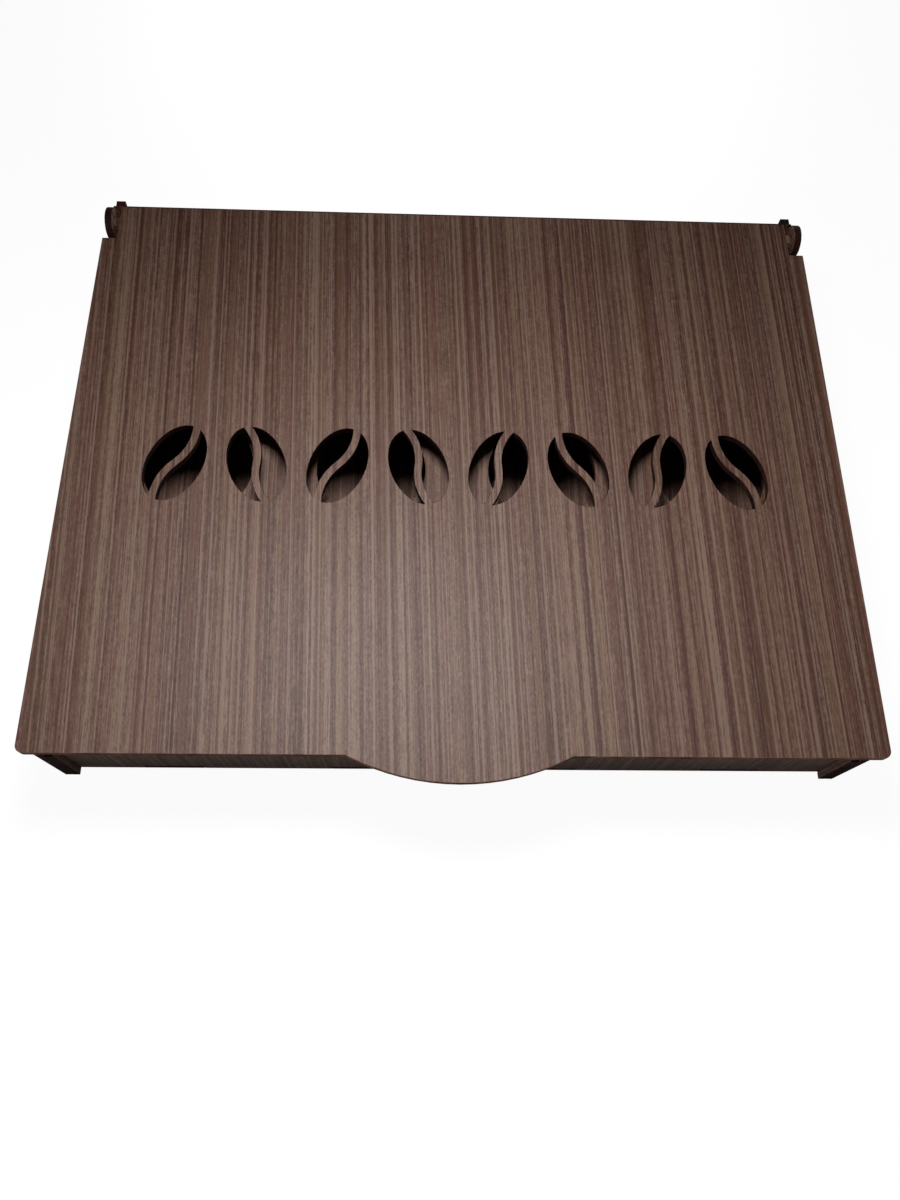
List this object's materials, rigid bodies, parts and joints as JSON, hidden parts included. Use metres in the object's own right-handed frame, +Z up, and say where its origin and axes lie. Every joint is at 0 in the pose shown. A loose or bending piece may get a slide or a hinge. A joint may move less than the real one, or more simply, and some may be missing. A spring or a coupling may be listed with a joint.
{
  "type": "coffee capsule box",
  "caption": "Flat striped wooden box for coffee capsules: a tray of round seats under a pierced lid that turns on its own rear tabs and has a rounded thumb lip.",
  "frame": {"origin": "middle of the outer box of the closed object, on the surface that it stands on", "axes": "+X to the right, +Y to the back, where the hinge is, +Z up; the thumb lip points to -Y"},
  "size_m": [0.32, 0.2696, 0.0555],
  "materials": {
    "lid_board": "satin striped brown decor on 3 mm fibreboard, burnt cut edges",
    "wall_board": "satin striped brown decor on 3 mm fibreboard, burnt cut edges",
    "tray_board": "satin striped brown decor on 3 mm fibreboard, burnt cut edges"
  },
  "bodies": {
    "body": {"side_wall_left": "wall_board", "side_wall_right": "wall_board", "inner_panel_left": "wall_board", "inner_panel_right": "wall_board", "front_wall": "wall_board", "back_wall": "wall_board", "floor_panel": "wall_board", "capsule_tray": "tray_board"},
    "lid": {"lid": "lid_board"}
  },
  "joints": [
    {"name": "lid_hinge", "type": "hinge", "parent": "body", "child": "lid", "pos_m": [0, 0.11973, 0.0485], "axis": [-1, 0, 0], "range_deg": [0, 160]}
  ]
}
